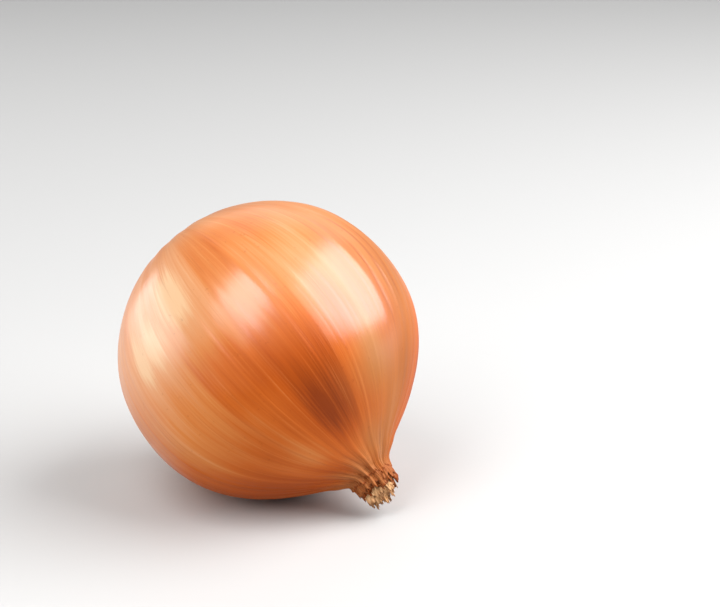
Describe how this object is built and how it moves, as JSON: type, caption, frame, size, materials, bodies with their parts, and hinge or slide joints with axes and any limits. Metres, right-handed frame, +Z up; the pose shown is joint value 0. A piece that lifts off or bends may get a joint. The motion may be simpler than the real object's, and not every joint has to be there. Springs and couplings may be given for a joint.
{
  "type": "onion bulb",
  "caption": "Dry brown onion lying on its side: a round bulb in papery skin that narrows to a pleated, torn neck, with a tuft of trimmed roots at the far end.",
  "frame": {"origin": "centre of the small flat spot on the skin that the onion rests on", "axes": "+Z up; +X level, towards the side that the neck points to, so the growth axis lies in the XZ plane with its neck end 40 degrees below level"},
  "size_m": [0.0852, 0.0862, 0.0848],
  "materials": {
    "dry_skin": "gloss",
    "pale_sheath": "matte",
    "dry_root": "matte"
  },
  "bodies": {
    "root": {"bulb": "dry_skin", "neck_sheaths": "pale_sheath", "root_tuft": "dry_root"}
  },
  "joints": []
}
